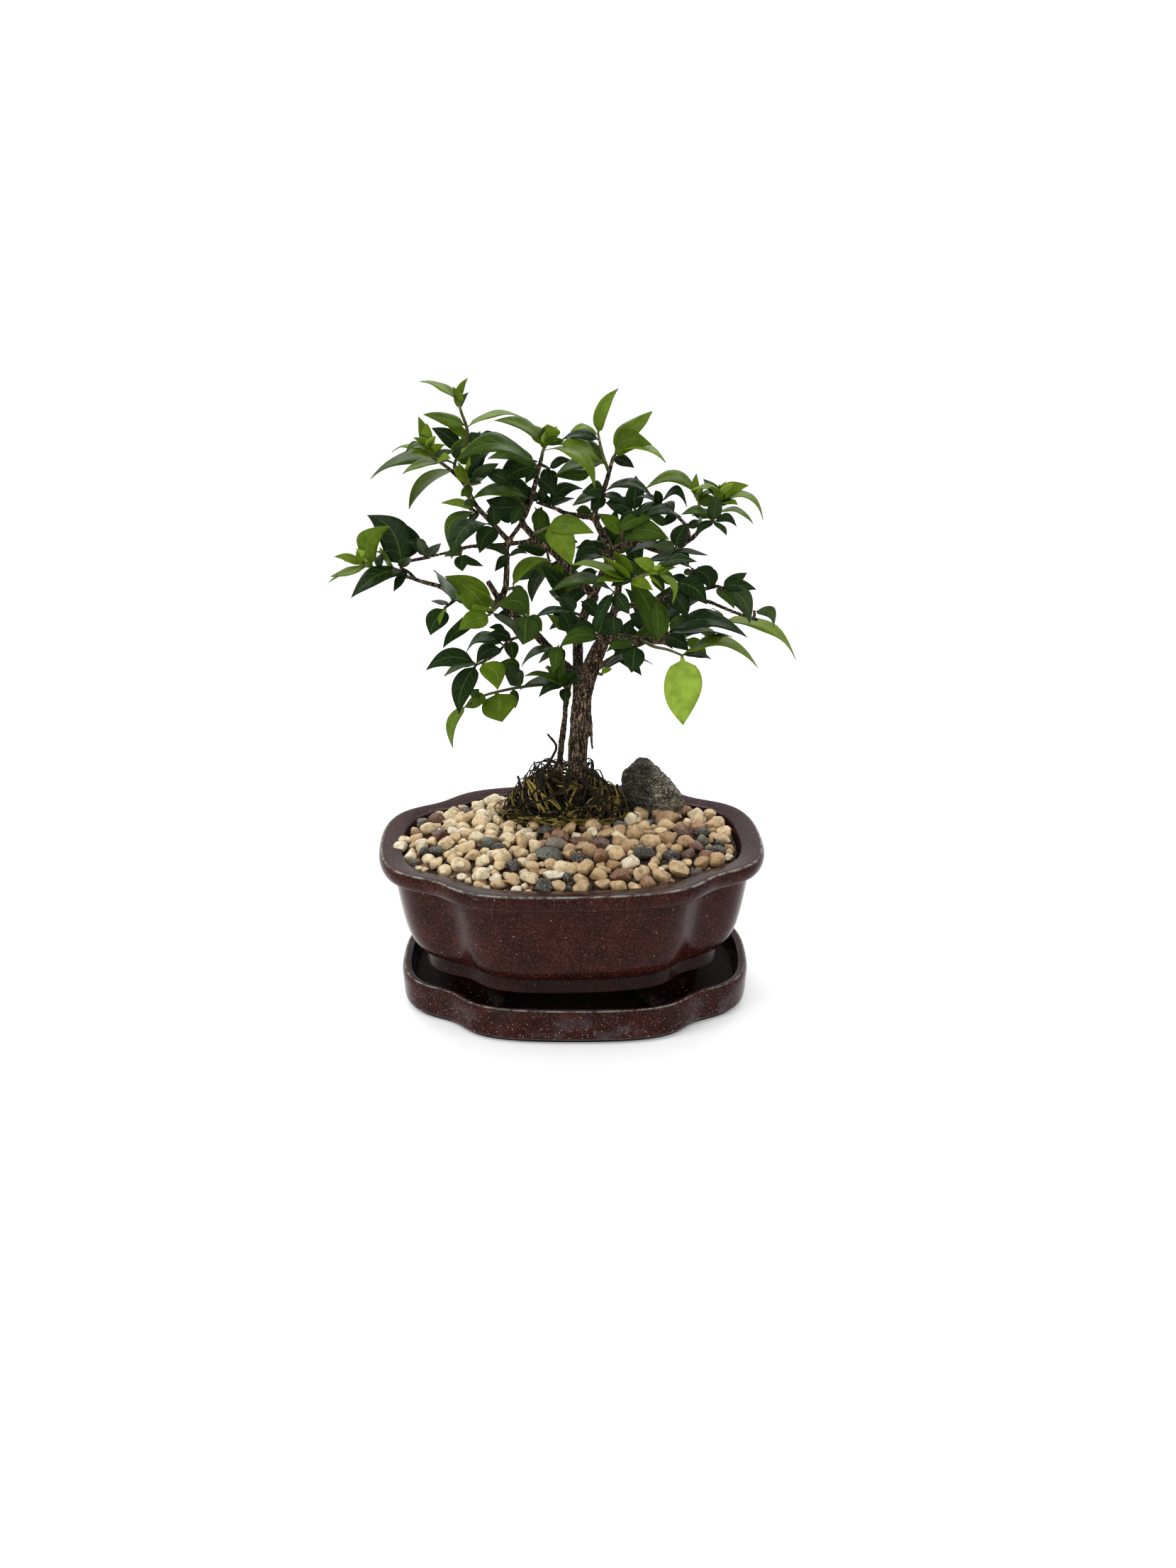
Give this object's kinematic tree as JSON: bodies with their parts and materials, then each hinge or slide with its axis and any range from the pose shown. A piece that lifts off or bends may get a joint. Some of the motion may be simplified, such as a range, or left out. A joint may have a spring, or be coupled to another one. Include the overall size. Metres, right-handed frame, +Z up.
{
  "type": "potted bonsai tree",
  "caption": "Small leafy bonsai tree with a slender branched trunk, in a lobed glazed pot with gravel, moss and a stone, standing in a matching drip tray.",
  "frame": {"origin": "on the flat underside of the drip tray, under the middle of the pot", "axes": "+Z up along the trunk, +X to the right and +Y away as seen from the front"},
  "size_m": [0.1914, 0.1433, 0.2515],
  "materials": {
    "tray_glaze": "gloss, oxblood glaze",
    "pot_glaze": "gloss, oxblood glaze",
    "soil": "matt, granular",
    "pebbles": "worn smooth",
    "rock": "rough",
    "moss": "matt, fibrous",
    "bark": "rough",
    "leaf_dark": "satin, leathery",
    "leaf_mid": "satin",
    "leaf_young": "satin, thin"
  },
  "bodies": {
    "root": {"tray": "tray_glaze", "pot": "pot_glaze", "soil": "soil", "gravel": "pebbles", "rock": "rock", "moss": "moss", "trunk": "bark", "left_tip": "leaf_young", "left_big": "leaf_dark", "left_high": "leaf_dark", "left_middle": "leaf_dark", "left_front": "leaf_mid", "left_stub": "leaf_dark", "left_arch": "leaf_dark", "high_left_young": "leaf_young", "high_left_dark": "leaf_dark", "top_shoot": "leaf_young", "inner_high_left": "leaf_dark", "crown_left_dark": "leaf_dark", "crown_left_young": "leaf_young", "crown_inner": "leaf_dark", "crown_middle": "leaf_dark", "crown_right": "leaf_mid", "crown_thin_shoot": "leaf_young", "arm_tip": "leaf_dark", "middle_light": "leaf_mid", "middle_dark": "leaf_dark", "stub_young": "leaf_young", "stub_dark": "leaf_dark", "stem_front": "leaf_dark", "fork_front": "leaf_dark", "limb_front": "leaf_dark", "stem_cluster": "leaf_dark", "low_twig": "leaf_dark", "low_left": "leaf_dark", "hanging_left": "leaf_mid", "limb_light": "leaf_mid", "upright_light": "leaf_mid", "upright_dark": "leaf_dark", "cross_dark": "leaf_dark", "upper_middle": "leaf_dark", "right_high": "leaf_dark", "right_young": "leaf_young", "right_light": "leaf_mid", "right_dark": "leaf_dark", "right_inner": "leaf_mid", "right_node": "leaf_dark", "right_level": "leaf_dark", "right_broad": "leaf_dark", "far_right": "leaf_dark", "far_right_low": "leaf_dark", "low_right_young": "leaf_young", "low_right_arch": "leaf_young", "low_right_dark": "leaf_dark", "low_right_front": "leaf_mid", "hanging_dark": "leaf_dark", "stem_right": "leaf_dark", "rear_right": "leaf_dark", "rear_middle": "leaf_dark", "rear_high": "leaf_dark"}
  },
  "joints": []
}
